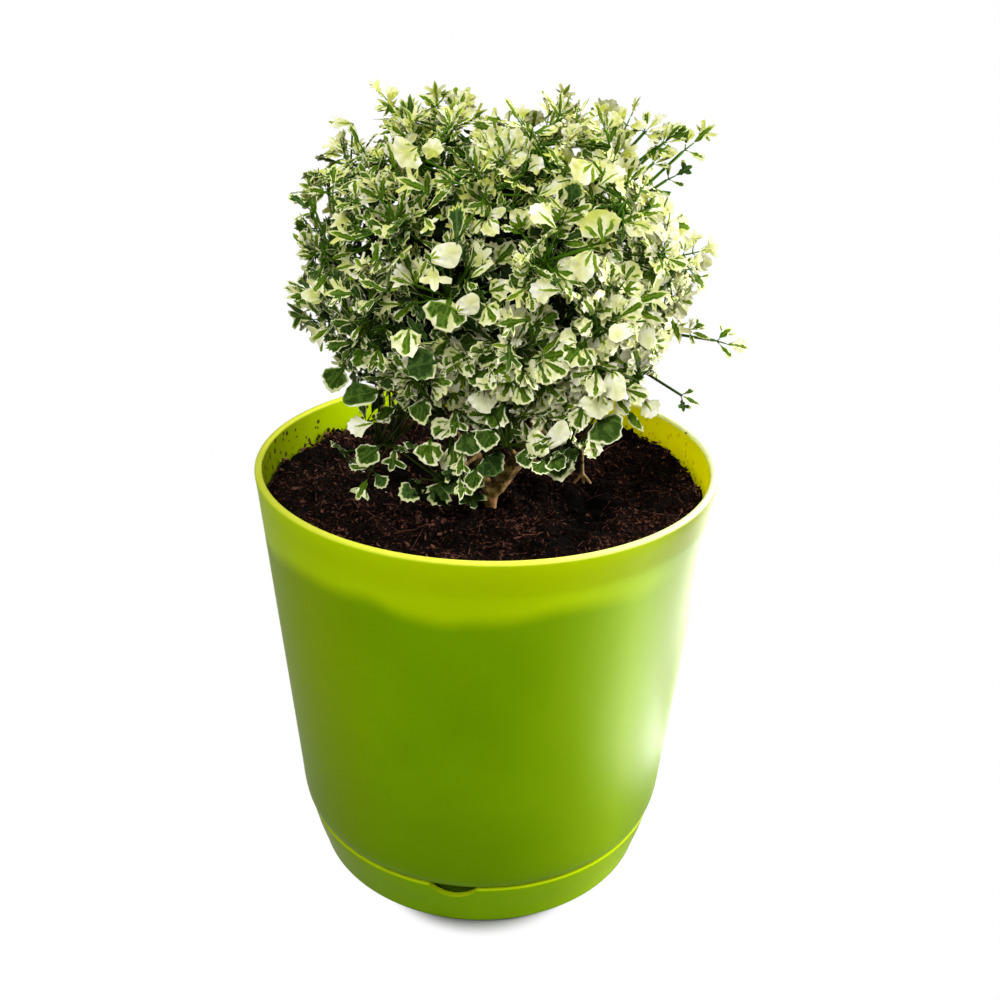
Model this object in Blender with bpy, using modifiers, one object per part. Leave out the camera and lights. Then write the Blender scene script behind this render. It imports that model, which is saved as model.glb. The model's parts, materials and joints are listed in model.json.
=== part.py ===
"""Potted aralia: a bushy variegated aralia in a tapered plastic pot on a clip-on drip tray.

Units are metres, +Z is up and -Y is the front. The origin is the middle of the tray's flat foot.
"""

import math
import random

import bmesh
import bpy
from mathutils import Matrix, Vector

MM = 0.001
GAP = 0.3 * MM  # clearance kept between neighbouring pieces

# Pot
RIM_RADIUS = 80.0 * MM
RIM_HEIGHT = 156.0 * MM
POT_WALL = 2.6 * MM
SHOULDER_RADIUS = 68.6 * MM
SHOULDER_HEIGHT = 24.0 * MM
SEAM_RADIUS = 66.2 * MM
SEAM_HEIGHT = 20.4 * MM
NEST_STEP = 3.2 * MM  # how far the pot steps in where it sits inside the tray
NEST_TAPER = 3.8 * MM  # and how much narrower that stretch is at its foot
POT_FLOOR = 9.0 * MM  # underside of the pot's floor
FOOT_RING_RADIUS = 44.0 * MM
FOOT_RING_WIDTH = 2.6 * MM
DRAIN_HOLE_RADIUS = 3.5 * MM
DRAIN_CIRCLE_RADIUS = 28.0 * MM
DRAIN_HOLES = 6
TURNED_STEPS = 40

# Tray
TRAY_WALL = 2.2 * MM
TRAY_LIP_RADIUS = 67.0 * MM
TRAY_HEIGHT = SEAM_HEIGHT - GAP
TRAY_HEEL_RADIUS = 62.5 * MM  # where the wall turns into the rounded bottom edge
TRAY_HEEL_ROUND = 3.0 * MM
NOTCH_ANGLE = math.radians(-7.5)  # from the front, towards -X
NOTCH_WIDTH = 17.0 * MM
NOTCH_DEPTH = 4.8 * MM

# Soil
SOIL_HEIGHT = 143.4 * MM
SOIL_MOUND = 2.2 * MM
SOIL_STEPS = TURNED_STEPS // 2  # every other corner lines up with the pot's

# Woody stems: one buried stub that forks into two leaders, in millimetres up their centre lines
STEM_BASE = Vector((1.5, -20.0, 143.4)) * MM
STUB_DEPTH = 26.0 * MM
STUB_RISE = 6.0 * MM
STUB_RADIUS = 3.4 * MM
FORK = (1.5, -20, 149)
LEFT_LEADER = [FORK, (-2, -19, 160), (-10, -14, 178), (-20, -10, 203), (-24, -8, 226)]
RIGHT_LEADER = [FORK, (9, -18, 160), (18, -14, 175), (28, -10, 200), (36, -8, 226)]
LEFT_LEADER_RADII = [2.4, 1.9, 1.8, 1.6, 1.3]
RIGHT_LEADER_RADII = [2.9, 2.8, 2.6, 2.1, 1.5]
BRANCH_RADIUS = 1.0 * MM
BRANCH_TAPER = 0.85
BRANCH_SHARE = 0.62  # how much of the way to a spray is woody
LOWEST_BRANCH = 163.0 * MM
BRANCH_DROP = 14.0 * MM  # how far below its spray a branch leaves the leader
BRANCH_SLOPE = 0.55  # and how much further for each unit that the spray is off the middle
LEADER_SIDES = 6
THIN_SIDES = 4

# Crown of leaf sprays
CROWN_CENTRE = Vector((3.0, -8.0, 224.0)) * MM
CROWN_SIDE = 75.0 * MM
CROWN_DEPTH = 62.0 * MM
CROWN_UP = 59.0 * MM
CROWN_DOWN = 60.0 * MM
CROWN_SQUARENESS = 2.5
CROWN_SPRAYS = 36
CROWN_LOWEST_Z = -0.62  # of the unit sphere that the sprays are spread over
TIP_INSET = 16.0 * MM  # from a spray's tip to the crown's outline
LOW_SPRAYS = [(-14, -46, 166), (-36, -30, 172), (24, -44, 170), (6, -52, 181)]  # millimetres
LOW_LEAF_LENGTH = 12.0 * MM
SHOOT_RADIUS = 0.85 * MM
SHOOT_TAPER = 0.8
LEAVES_PER_SPRAY = 4
LEAF_LENGTH = 16.2 * MM
LEAF_THICKNESS = 0.8 * MM
LEAF_SPREAD = 1.08  # radians between a leaf and its shoot's facing
SPREAD_JITTER = (-0.25, 0.2)
TURN_JITTER = 0.2
LEAF_SPACING = 0.8 * MM  # along the shoot
STALK_HALF_WIDTH = 0.035  # of a leaf's length
LEAF_SEED = 31
GOLDEN_ANGLE = math.pi * (3 - math.sqrt(5))

# Dry twig: it stands on three prongs
TWIG_FOOT = Vector((34.0, 2.0, 142.9)) * MM
TWIG_HEIGHT = 13.0 * MM
TWIG_RADIUS = 0.7 * MM
TWIG_FORK = 4.0 * MM
TWIG_PRONGS = [(-3.2, -0.8, 0.6), (0.4, 0.3, 0.0), (3.0, -0.7, 0.6)]  # millimetres from the foot


def clear_scene():
    for thing in list(bpy.data.objects):
        bpy.data.objects.remove(thing, do_unlink=True)


def add_collection(name):
    collection = bpy.data.collections.new(name)
    bpy.context.scene.collection.children.link(collection)
    return collection


def add_material(name, colour, roughness, metallic=0.0):
    material = bpy.data.materials.new(name)
    material.use_nodes = True
    shader = material.node_tree.nodes["Principled BSDF"]
    shader.inputs["Base Color"].default_value = (*colour, 1.0)
    shader.inputs["Roughness"].default_value = roughness
    shader.inputs["Metallic"].default_value = metallic
    return material


def add_object(name, data, collection, material=None):
    thing = bpy.data.objects.new(name, data)
    collection.objects.link(thing)
    if material is not None:
        data.materials.append(material)
    return thing


def add_cutter(name, mesh, thing):
    """A shape that only cuts another."""
    cutter = add_object(name, mesh, cutters)
    cutter.hide_render = True
    cutter.display_type = "WIRE"
    cuts.append((thing, cutter))


def evaluated_mesh(thing):
    bpy.context.view_layer.update()
    graph = bpy.context.evaluated_depsgraph_get()
    return bpy.data.meshes.new_from_object(thing.evaluated_get(graph))


def turned_mesh(name, profile, steps):
    """Turn an open profile that starts and ends on the axis, with its poles welded."""
    mesh = bpy.data.meshes.new(name)
    edges = [(i, i + 1) for i in range(len(profile) - 1)]
    mesh.from_pydata([(radius, 0.0, height) for radius, height in profile], edges, [])
    blank = add_object(name + "_profile", mesh, cutters)
    screw = blank.modifiers.new("Turn", "SCREW")
    screw.steps = steps
    screw.render_steps = steps
    screw.use_merge_vertices = True
    screw.merge_threshold = 0.00001
    turned = evaluated_mesh(blank)
    turned.name = name
    bpy.data.objects.remove(blank, do_unlink=True)
    return turned


def tube_mesh(name, points, radii, sides):
    """A closed tube through points, as a mesh, with its caps welded."""
    curve = bpy.data.curves.new(name, "CURVE")
    curve.dimensions = "3D"
    curve.bevel_mode = "ROUND"
    curve.bevel_depth = 1.0
    curve.bevel_resolution = max(0, sides // 2 - 2)
    curve.use_fill_caps = True
    spline = curve.splines.new("POLY")
    spline.points.add(len(points) - 1)
    for place, point, radius in zip(spline.points, points, radii):
        place.co = (*point, 1.0)
        place.radius = radius
    blank = add_object(name + "_line", curve, cutters)
    tube = evaluated_mesh(blank)
    tube.name = name
    bpy.data.objects.remove(blank, do_unlink=True)
    weld_caps(tube)
    return tube


def weld_caps(mesh):
    work = bmesh.new()
    work.from_mesh(mesh)
    bmesh.ops.remove_doubles(work, verts=work.verts, dist=0.000001)
    bmesh.ops.recalc_face_normals(work, faces=work.faces)
    work.to_mesh(mesh)
    work.free()


def add_booleans():
    """Add every cut and join; they come last, so that no blank is evaluated again for them."""
    for thing, cutter in cuts:
        boolean = thing.modifiers.new("Cut " + cutter.name, "BOOLEAN")
        boolean.operation = "DIFFERENCE"
        boolean.object = cutter
    for thing, collection in joins:
        boolean = thing.modifiers.new("Join", "BOOLEAN")
        boolean.operation = "UNION"
        boolean.operand_type = "COLLECTION"
        boolean.collection = collection


def add_blank(name, mesh, collection):
    """A shape that is joined to another, so it isn't a piece of its own."""
    blank = add_object(name, mesh, collection)
    blank.hide_render = True
    blank.display_type = "WIRE"


def arc(centre, radius, start, end, steps):
    """Points of (radius, height) on a circular arc between two angles in degrees."""
    angles = [math.radians(start + (end - start) * i / steps) for i in range(steps + 1)]
    return [(centre[0] + radius * math.cos(a), centre[1] + radius * math.sin(a)) for a in angles]


# ---- the pot ----


def pot_outer_radius(height):
    share = (height - SHOULDER_HEIGHT) / (RIM_HEIGHT - SHOULDER_HEIGHT)
    return SHOULDER_RADIUS + (RIM_RADIUS - SHOULDER_RADIUS) * share


def pot_inside():
    """From the middle of the floor, up the inner wall to the top of the lip."""
    nest = SEAM_RADIUS - NEST_STEP - POT_WALL
    lip = POT_WALL / 2
    profile = [(0.0, POT_FLOOR + POT_WALL), (nest - NEST_TAPER, POT_FLOOR + POT_WALL)]
    profile += [(nest, SEAM_HEIGHT + 2.0 * MM)]
    profile += [(SHOULDER_RADIUS - POT_WALL, SHOULDER_HEIGHT + 3.0 * MM)]
    return profile + arc((RIM_RADIUS - lip, RIM_HEIGHT - lip), lip, 180, 90, 2)[:-1]


def pot_outside():
    """From the top of the lip, down the outer wall and under the floor to its middle."""
    nest = SEAM_RADIUS - NEST_STEP
    lip = POT_WALL / 2
    ring = FOOT_RING_RADIUS
    ring_foot = TRAY_WALL + GAP
    profile = arc((RIM_RADIUS - lip, RIM_HEIGHT - lip), lip, 90, 0, 2)
    profile += [(SHOULDER_RADIUS, SHOULDER_HEIGHT)]
    profile += [(SEAM_RADIUS + 0.9 * MM, SEAM_HEIGHT + 1.6 * MM), (SEAM_RADIUS, SEAM_HEIGHT)]
    profile += [(nest, SEAM_HEIGHT), (nest - NEST_TAPER, POT_FLOOR)]
    profile += [(ring, POT_FLOOR), (ring, ring_foot)]
    profile += [(ring - FOOT_RING_WIDTH, ring_foot), (ring - FOOT_RING_WIDTH, POT_FLOOR)]
    return profile + [(0.0, POT_FLOOR)]


def cylinder_mesh(name, radius, depth, sides, matrix):
    work = bmesh.new()
    bmesh.ops.create_cone(
        work, cap_ends=True, segments=sides, radius1=radius, radius2=radius, depth=depth, matrix=matrix
    )
    mesh = bpy.data.meshes.new(name)
    work.to_mesh(mesh)
    work.free()
    return mesh


def build_pot():
    mesh = turned_mesh("planter_pot", pot_inside() + pot_outside(), TURNED_STEPS)
    weld_caps(mesh)
    pot = add_object("planter_pot", mesh, parts, lime_plastic)
    depth = 4 * POT_WALL
    for i in range(DRAIN_HOLES + 1):
        angle = 2 * math.pi * i / DRAIN_HOLES
        circle = DRAIN_CIRCLE_RADIUS if i < DRAIN_HOLES else 0.0
        place = Vector((circle * math.cos(angle), circle * math.sin(angle), POT_FLOOR + POT_WALL / 2))
        hole = cylinder_mesh(f"drain_hole_{i + 1}", DRAIN_HOLE_RADIUS, depth, 10, Matrix.Translation(place))
        add_cutter(f"drain_hole_{i + 1}", hole, pot)
    shade_round(mesh)


def shade_round(mesh):
    mesh.shade_smooth()
    mesh.set_sharp_from_angle(angle=math.radians(35))


# ---- the tray ----


def build_tray():
    heel = arc(
        (TRAY_HEEL_RADIUS - TRAY_HEEL_ROUND, TRAY_HEEL_ROUND), TRAY_HEEL_ROUND, 0, -90, 3
    )
    profile = [(0.0, TRAY_WALL), (TRAY_HEEL_RADIUS - TRAY_HEEL_ROUND, TRAY_WALL)]
    profile += [(TRAY_HEEL_RADIUS - TRAY_WALL, TRAY_HEEL_ROUND), (TRAY_LIP_RADIUS - TRAY_WALL, TRAY_HEIGHT)]
    profile += [(TRAY_LIP_RADIUS - 0.5 * MM, TRAY_HEIGHT), (TRAY_LIP_RADIUS, TRAY_HEIGHT - 0.5 * MM)]
    profile += heel + [(0.0, 0.0)]
    mesh = turned_mesh("drip_tray", profile, TURNED_STEPS)
    weld_caps(mesh)
    tray = add_object("drip_tray", mesh, parts, lime_plastic)
    # A shallow arc cut across the lip: its radius follows from its width and depth.
    radius = ((NOTCH_WIDTH / 2) ** 2 + NOTCH_DEPTH**2) / (2 * NOTCH_DEPTH)
    outward = Vector((math.sin(NOTCH_ANGLE), -math.cos(NOTCH_ANGLE), 0.0))
    centre = outward * (TRAY_LIP_RADIUS - TRAY_WALL / 2)
    centre.z = TRAY_HEIGHT - NOTCH_DEPTH + radius
    turn = outward.to_track_quat("Z", "Y").to_matrix().to_4x4()
    notch = cylinder_mesh("finger_notch", radius, 5 * TRAY_WALL, 28, Matrix.Translation(centre) @ turn)
    add_cutter("finger_notch", notch, tray)
    shade_round(mesh)


# ---- the soil ----


def soil_relief(x, y):
    """Height of the mix above its mean level, in metres, at a place in metres."""
    u, v = x / MM, y / MM
    from_stem = math.hypot(u - STEM_BASE.x / MM, v - STEM_BASE.y / MM)
    mound = SOIL_MOUND / MM * math.exp(-((from_stem / 24.0) ** 2))
    waves = 1.0 * math.sin(u / 13.0 + 0.6) * math.cos(v / 15.0) + 0.6 * math.sin(v / 8.0 + u / 19.0)
    return (mound + waves) * MM


def build_soil():
    top = SOIL_HEIGHT
    edge_high = pot_outer_radius(top) - POT_WALL - GAP * 1.8
    low = SHOULDER_HEIGHT + 4.0 * MM
    edge_low = pot_outer_radius(low) - POT_WALL - GAP * 1.8
    foot = SEAM_RADIUS - NEST_STEP - POT_WALL - GAP * 4
    bottom = POT_FLOOR + POT_WALL + GAP
    rings = [edge_high * share for share in (0.0, 0.16, 0.32, 0.48, 0.64, 0.8, 0.93, 1.0)]
    profile = [(radius, top) for radius in rings]
    profile += [(edge_low, low), (foot, SEAM_HEIGHT + 1.0 * MM), (foot - NEST_TAPER, bottom), (0.0, bottom)]
    mesh = turned_mesh("potting_soil", profile, SOIL_STEPS)
    weld_caps(mesh)
    for vertex in mesh.vertices:
        if vertex.co.z > top - MM:
            vertex.co.z += soil_relief(vertex.co.x, vertex.co.y)
    soil = add_object("potting_soil", mesh, parts, cocopeat)
    socket_points = [STEM_BASE - Vector((0, 0, STUB_DEPTH + GAP)), STEM_BASE + Vector((0, 0, 8 * MM))]
    socket = tube_mesh("root_socket", socket_points, [STUB_RADIUS + GAP] * 2, 12)
    add_cutter("root_socket", socket, soil)


# ---- the sprays ----


def crown_reach(direction):
    """Distance from the crown's centre to its outline, along a unit direction."""
    up = CROWN_UP if direction.z > 0 else CROWN_DOWN
    parts_of = (direction.x / CROWN_SIDE, direction.y / CROWN_DEPTH, direction.z / up)
    total = sum(abs(part) ** CROWN_SQUARENESS for part in parts_of)
    return total ** (-1 / CROWN_SQUARENESS)


def crown_tips():
    """Spray tips spread evenly over the crown, from its top round to its lower edge."""
    tips = []
    for i in range(CROWN_SPRAYS):
        z = 1 - (1 - CROWN_LOWEST_Z) * (i + 0.5) / CROWN_SPRAYS
        ring = math.sqrt(1 - z * z)
        turn = GOLDEN_ANGLE * i + 0.4
        direction = Vector((ring * math.cos(turn), ring * math.sin(turn), z))
        tips.append((CROWN_CENTRE + direction * (crown_reach(direction) - TIP_INSET), direction, LEAF_LENGTH))
    for tip in LOW_SPRAYS:
        place = Vector(tip) * MM
        tips.append((place, (place - CROWN_CENTRE).normalized(), LOW_LEAF_LENGTH))
    return tips


def leader_point(leader, height):
    """The point of a leader's centre line at a height."""
    line = [Vector(point) * MM for point in leader]
    for low, high in zip(line, line[1:]):
        if height <= high.z:
            share = max(0.0, (height - low.z) / (high.z - low.z))
            return low.lerp(high, share)
    return line[-1].copy()


def branch_start(tip):
    """Where the branch to a spray leaves its leader."""
    leader = LEFT_LEADER if tip.x < CROWN_CENTRE.x else RIGHT_LEADER
    reach = math.hypot(tip.x - CROWN_CENTRE.x, tip.y - CROWN_CENTRE.y)
    height = tip.z - BRANCH_DROP - BRANCH_SLOPE * reach
    return leader_point(leader, max(LOWEST_BRANCH, height))


def leaf_blank(length):
    """A flat compound leaf with one end leaflet and two side leaflets, lying along +X."""
    stalk = STALK_HALF_WIDTH
    half = [(0.0, stalk), (0.38, stalk), (0.56, 0.38), (0.60, 0.10), (0.82, 0.21)]
    outline = [(x, -y) for x, y in half] + [(1.0, 0.0)] + [(x, y) for x, y in reversed(half)]
    curve = bpy.data.curves.new("leaf_outline", "CURVE")
    curve.dimensions = "2D"
    curve.fill_mode = "BOTH"
    curve.extrude = LEAF_THICKNESS / 2
    spline = curve.splines.new("POLY")
    spline.points.add(len(outline) - 1)
    for place, (x, y) in zip(spline.points, outline):
        place.co = (x * length, y * length, 0.0, 1.0)
    spline.use_cyclic_u = True
    blank = add_object("leaf_outline", curve, cutters)
    mesh = evaluated_mesh(blank)
    bpy.data.objects.remove(blank, do_unlink=True)
    weld_caps(mesh)
    return mesh


def build_spray(number, tip, direction, leaf, chance):
    """One green shoot with its compound leaves, joined into one body."""
    name = f"leaf_spray_{number:02d}"
    start = branch_start(tip)
    along = (tip - start).normalized()
    root = start.lerp(tip, BRANCH_SHARE) + along * GAP
    shoot = tube_mesh(name, [root, tip], [SHOOT_RADIUS, SHOOT_RADIUS * SHOOT_TAPER], THIN_SIDES)
    spray = add_object(name, shoot, parts, leaf_green)
    leaves = add_collection("leaves of " + name)
    facing = (direction + along * 0.6).normalized()
    side = facing.orthogonal().normalized()
    phase = chance.uniform(0, 2 * math.pi)
    for i in range(LEAVES_PER_SPRAY):
        turn = phase + 2 * math.pi * i / LEAVES_PER_SPRAY + chance.uniform(-TURN_JITTER, TURN_JITTER)
        outward = Matrix.Rotation(turn, 3, facing) @ side
        spread = LEAF_SPREAD + chance.uniform(*SPREAD_JITTER)
        heading = facing * math.cos(spread) + outward * math.sin(spread)
        normal = facing * math.sin(spread) - outward * math.cos(spread)
        across = normal.cross(heading)
        foot = tip - along * LEAF_SPACING * (i + 0.6)
        frame = Matrix((heading, across, normal)).transposed().to_4x4()
        frame.translation = foot
        copy = leaf.copy()
        copy.transform(frame)
        add_blank(f"{name}_leaf_{i + 1}", copy, leaves)
    joins.append((spray, leaves))
    return start, root - along * 2 * GAP


def build_sprays():
    chance = random.Random(LEAF_SEED)
    blanks = {length: leaf_blank(length) for length in (LEAF_LENGTH, LOW_LEAF_LENGTH)}
    branches = []
    for number, (tip, direction, length) in enumerate(crown_tips(), 1):
        branches.append(build_spray(number, tip, direction, blanks[length], chance))
    return branches


# ---- the woody stems and the twig ----


def build_stems(branches):
    stub = [STEM_BASE - Vector((0, 0, STUB_DEPTH)), STEM_BASE + Vector((0, 0, STUB_RISE))]
    mesh = tube_mesh("woody_stems", stub, [STUB_RADIUS, STUB_RADIUS], 8)
    stems = add_object("woody_stems", mesh, parts, bark)
    limbs = add_collection("limbs")
    for name, line, radii in (
        ("left_leader", LEFT_LEADER, LEFT_LEADER_RADII),
        ("right_leader", RIGHT_LEADER, RIGHT_LEADER_RADII),
    ):
        points = [Vector(point) * MM for point in line]
        add_blank(name, tube_mesh(name, points, [radius * MM for radius in radii], LEADER_SIDES), limbs)
    for number, ends in enumerate(branches, 1):
        radii = [BRANCH_RADIUS, BRANCH_RADIUS * BRANCH_TAPER]
        branch = tube_mesh(f"branch_{number}", ends, radii, THIN_SIDES)
        add_blank(f"branch_{number}", branch, limbs)
    joins.append((stems, limbs))


def build_twig():
    relief = soil_relief(TWIG_FOOT.x, TWIG_FOOT.y)
    ground = TWIG_FOOT + Vector((0, 0, relief + GAP + TWIG_RADIUS))
    fork = ground + Vector((0, 0, TWIG_FORK))
    top = ground + Vector((-TWIG_RADIUS, 0, TWIG_HEIGHT))
    stalk = tube_mesh("dry_twig", [fork - Vector((0, 0, MM)), top], [TWIG_RADIUS] * 2, LEADER_SIDES)
    twig = add_object("dry_twig", stalk, parts, dry_wood)
    prongs = add_collection("prongs")
    for number, offset in enumerate(TWIG_PRONGS, 1):
        ends = [fork, ground + Vector(offset) * MM]
        radii = [TWIG_RADIUS, TWIG_RADIUS * 0.7]
        add_blank(f"prong_{number}", tube_mesh(f"prong_{number}", ends, radii, LEADER_SIDES), prongs)
    joins.append((twig, prongs))


clear_scene()
cuts = []
joins = []
parts = add_collection("potted_aralia")
cutters = add_collection("cutters")
lime_plastic = add_material("lime polypropylene", (0.31, 0.50, 0.01), 0.32)
cocopeat = add_material("cocopeat", (0.02, 0.012, 0.008), 0.95)
bark = add_material("bark", (0.30, 0.20, 0.10), 0.8)
leaf_green = add_material("variegated leaf", (0.45, 0.52, 0.22), 0.45)
dry_wood = add_material("dry wood", (0.35, 0.25, 0.15), 0.9)

build_pot()
build_tray()
build_soil()
build_stems(build_sprays())
build_twig()
add_booleans()
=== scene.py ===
import json
import math
import random
from functools import partial

import bmesh
import bpy
from mathutils import Matrix, Vector, noise
from mathutils.kdtree import KDTree

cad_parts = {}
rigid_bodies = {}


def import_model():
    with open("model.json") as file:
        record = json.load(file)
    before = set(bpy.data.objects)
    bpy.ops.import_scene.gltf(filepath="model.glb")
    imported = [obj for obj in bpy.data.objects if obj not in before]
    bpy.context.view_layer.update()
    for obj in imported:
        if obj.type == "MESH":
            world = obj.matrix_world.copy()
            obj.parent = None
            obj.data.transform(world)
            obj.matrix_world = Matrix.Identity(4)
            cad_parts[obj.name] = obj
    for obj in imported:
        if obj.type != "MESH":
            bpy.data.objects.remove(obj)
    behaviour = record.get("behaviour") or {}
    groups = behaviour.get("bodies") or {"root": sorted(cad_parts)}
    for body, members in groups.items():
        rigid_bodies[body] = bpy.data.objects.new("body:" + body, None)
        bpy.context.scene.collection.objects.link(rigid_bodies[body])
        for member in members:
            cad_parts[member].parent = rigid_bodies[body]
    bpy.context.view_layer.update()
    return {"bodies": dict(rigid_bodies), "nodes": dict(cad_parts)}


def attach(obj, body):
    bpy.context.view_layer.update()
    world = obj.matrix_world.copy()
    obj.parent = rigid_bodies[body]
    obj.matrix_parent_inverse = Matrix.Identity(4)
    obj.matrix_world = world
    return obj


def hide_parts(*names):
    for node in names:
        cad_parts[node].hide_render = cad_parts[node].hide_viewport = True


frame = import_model()
body = sorted(frame["bodies"])[0]
mm = 0.001
up = Vector((0, 0, 1))
goldenAngle = math.pi * (3 - math.sqrt(5))


def linear(hexColour):
    channels = [int(hexColour[i:i + 2], 16) / 255 for i in (1, 3, 5)]
    return (*[c / 12.92 if c <= 0.04045 else ((c + 0.055) / 1.055) ** 2.4 for c in channels], 1.0)


# What the word after a node's kind sets, as in "Math ADD".
variantNames = {"Math": "operation", "VectorMath": "operation", "MapRange": "interpolation_type",
                "MixRGB": "blend_type", "Attribute": "attribute_name"}


# The inputs are given in their order or by name, and stops are a colour ramp's places and colours.
def addNode(tree, kind, inputs=(), stops=()):
    kind, _, variant = kind.partition(" ")
    node = tree.nodes.new("ShaderNode" + kind)
    if variant:
        setattr(node, variantNames[kind], variant)
    if stops:
        points = node.color_ramp.elements
        while len(points) < len(stops):
            points.new(1.0)
        for point, (place, colour) in zip(points, stops):
            point.position = place
            point.color = linear(colour) if isinstance(colour, str) else (*colour, 1.0)
    for name, value in inputs.items() if isinstance(inputs, dict) else enumerate(inputs):
        if isinstance(value, bpy.types.Node):
            value = value.outputs[0]
        if isinstance(value, bpy.types.NodeSocket):
            tree.links.new(value, node.inputs[name])
        else:
            node.inputs[name].default_value = linear(value) if isinstance(value, str) else value
    return node


def newMaterial(name):
    material = bpy.data.materials.new(name)
    material.use_nodes = True
    material.node_tree.nodes.clear()
    return material, partial(addNode, material.node_tree)


def deselect():
    if bpy.context.object and bpy.context.object.mode != "OBJECT":
        bpy.ops.object.mode_set(mode="OBJECT")
    bpy.ops.object.select_all(action="DESELECT")


def makeActive(thing):
    deselect()
    thing.select_set(True)
    bpy.context.view_layer.objects.active = thing


def applyModifier(thing, kind, **settings):
    makeActive(thing)
    modifier = thing.modifiers.new(kind.lower(), kind)
    for name, value in settings.items():
        setattr(modifier, name, value)
    bpy.ops.object.modifier_apply(modifier=modifier.name)


def smoothByAngle(thing, degrees):
    makeActive(thing)
    bpy.ops.object.shade_smooth_by_angle(angle=math.radians(degrees))


# A merged copy of a node's mesh, in a new object.
def copyOfNode(name, node):
    mesh = frame["nodes"][node].data.copy()
    thing = bpy.data.objects.new(name, mesh)
    bpy.context.scene.collection.objects.link(thing)
    makeActive(thing)
    bpy.ops.object.mode_set(mode="EDIT")
    bpy.ops.mesh.select_all(action="SELECT")
    bpy.ops.mesh.remove_doubles(threshold=0.002 * mm)
    bpy.ops.object.mode_set(mode="OBJECT")
    mesh.materials.clear()
    return thing


def finishPiece(thing, material, slot, *nodes):
    thing.data.materials.clear()
    thing.data.materials.append(material)
    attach(thing, body)
    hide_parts(*nodes)


def addCopy(work, mesh, matrix):
    copy = mesh.copy()
    copy.transform(matrix)
    work.from_mesh(copy)
    bpy.data.meshes.remove(copy)


viewing = {
    "place": (2.0, -386.1, 321.5),  # mm
    "downward": 25.354,  # degrees
    "sideways": 0.435,
    "roll": 1.383,
    "lens": 43.2,
}
lighting = {
    # name, place in mm, aim in mm, width and height in m, watts
    "softboxes": [
        ("right softbox", (620, 60, 310), (20, 0, 185), 0.5, 0.36, 10.0),
        ("top softbox", (20, -100, 900), (0, 0, 150), 0.6, 0.6, 4.2),
        ("front softbox", (-220, -680, 760), (0, 0, 150), 0.4, 0.4, 6.9),
        ("low card", (217, -32, 4), (217, -32, 300), 0.226, 0.116, 1.48),
        ("back low card", (247, 158, 4), (247, 158, 300), 0.165, 0.265, 1.9),
        ("side low card", (124, 160, 4), (124, 160, 300), 0.082, 0.262, 0.24),
    ],
    "warmth": (1.0, 0.97, 0.94),
    "fill": (1.0, 1.0, 0.5, 1.0),
    "world": 0.06,
    "shadowMiddle": (0, -30, 0),  # mm
    "groundGlow": (31.5, 39.5),  # mm from that middle, where the floor's shadow ends
    "paper": (0.32, 0.32, 0.32, 1.0),  # the floor in that shadow, darker paper that deepens the real shadow into a painted one
}


def addCamera():
    camera = bpy.data.objects.new("camera", bpy.data.cameras.new("camera"))
    camera.data.lens = viewing["lens"]
    camera.location = Vector(viewing["place"]) * mm
    turn = Matrix.Rotation(-math.radians(viewing["sideways"]), 3, "Z")
    tilt = Matrix.Rotation(math.radians(90 - viewing["downward"]), 3, "X")
    roll = Matrix.Rotation(math.radians(viewing["roll"]), 3, "Z")
    camera.rotation_euler = (turn @ tilt @ roll).to_euler()
    bpy.context.scene.collection.objects.link(camera)
    bpy.context.scene.camera = camera


def addLights():
    for name, place, aim, width, height, watts in lighting["softboxes"]:
        light = bpy.data.lights.new(name, "AREA")
        light.shape = "RECTANGLE"
        light.size, light.size_y, light.energy = width, height, watts
        if name == "right softbox":
            light.color = lighting["warmth"]
        lamp = bpy.data.objects.new(name, light)
        lamp.location = Vector(place) * mm
        lamp.rotation_euler = (Vector(aim) - Vector(place)).to_track_quat("-Z", "Y").to_euler()
        lamp.visible_camera = False
        lamp.visible_diffuse = not name.endswith("low card")  # the cards are only there to be mirrored
        bpy.context.scene.collection.objects.link(lamp)
    world = bpy.data.worlds.new("studio")
    bpy.context.scene.world = world
    world.use_nodes = True
    world.node_tree.nodes.clear()
    add = partial(addNode, world.node_tree)
    plain = add("Background", (lighting["fill"], lighting["world"]))
    white = add("Background", ("#ffffff", 1.0))
    both = add("MixShader", (seenDirectly(add), plain, white))
    add("OutputWorld", (both,))


# 1 for what the camera sees, straight, mirrored or through glass.
def seenDirectly(add):
    path = add("LightPath").outputs
    seen = add("Math MAXIMUM", (path["Is Camera Ray"], path["Is Transmission Ray"]))
    return add("Math MAXIMUM", (seen, path["Is Glossy Ray"]))


def addFloor():
    deselect()
    bpy.ops.mesh.primitive_plane_add(size=8.0, location=(0, 0, 0))
    floor = bpy.context.object
    floor.name = "floor"
    material, add = newMaterial("matt white paper floor")
    # Round the tray's front the floor is darker paper: it shows the real shadow and deepens it, a painted
    # shadow; further out it glows plain white.
    near, far = lighting["groundGlow"]
    middle = Vector(lighting["shadowMiddle"]) * mm
    place = add("TexCoord").outputs["Object"]
    distance = add("VectorMath DISTANCE", (place, middle)).outputs["Value"]
    clear = add("MapRange SMOOTHSTEP", (distance, near * mm, far * mm))
    glow = add("Math MULTIPLY", (seenDirectly(add), clear))
    paper = add("BsdfDiffuse", (lighting["paper"],))
    white = add("Emission", ("#ffffff", 1.0))
    add("OutputMaterial", (add("MixShader", (glow, paper, white)),))
    floor.data.materials.append(material)


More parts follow.
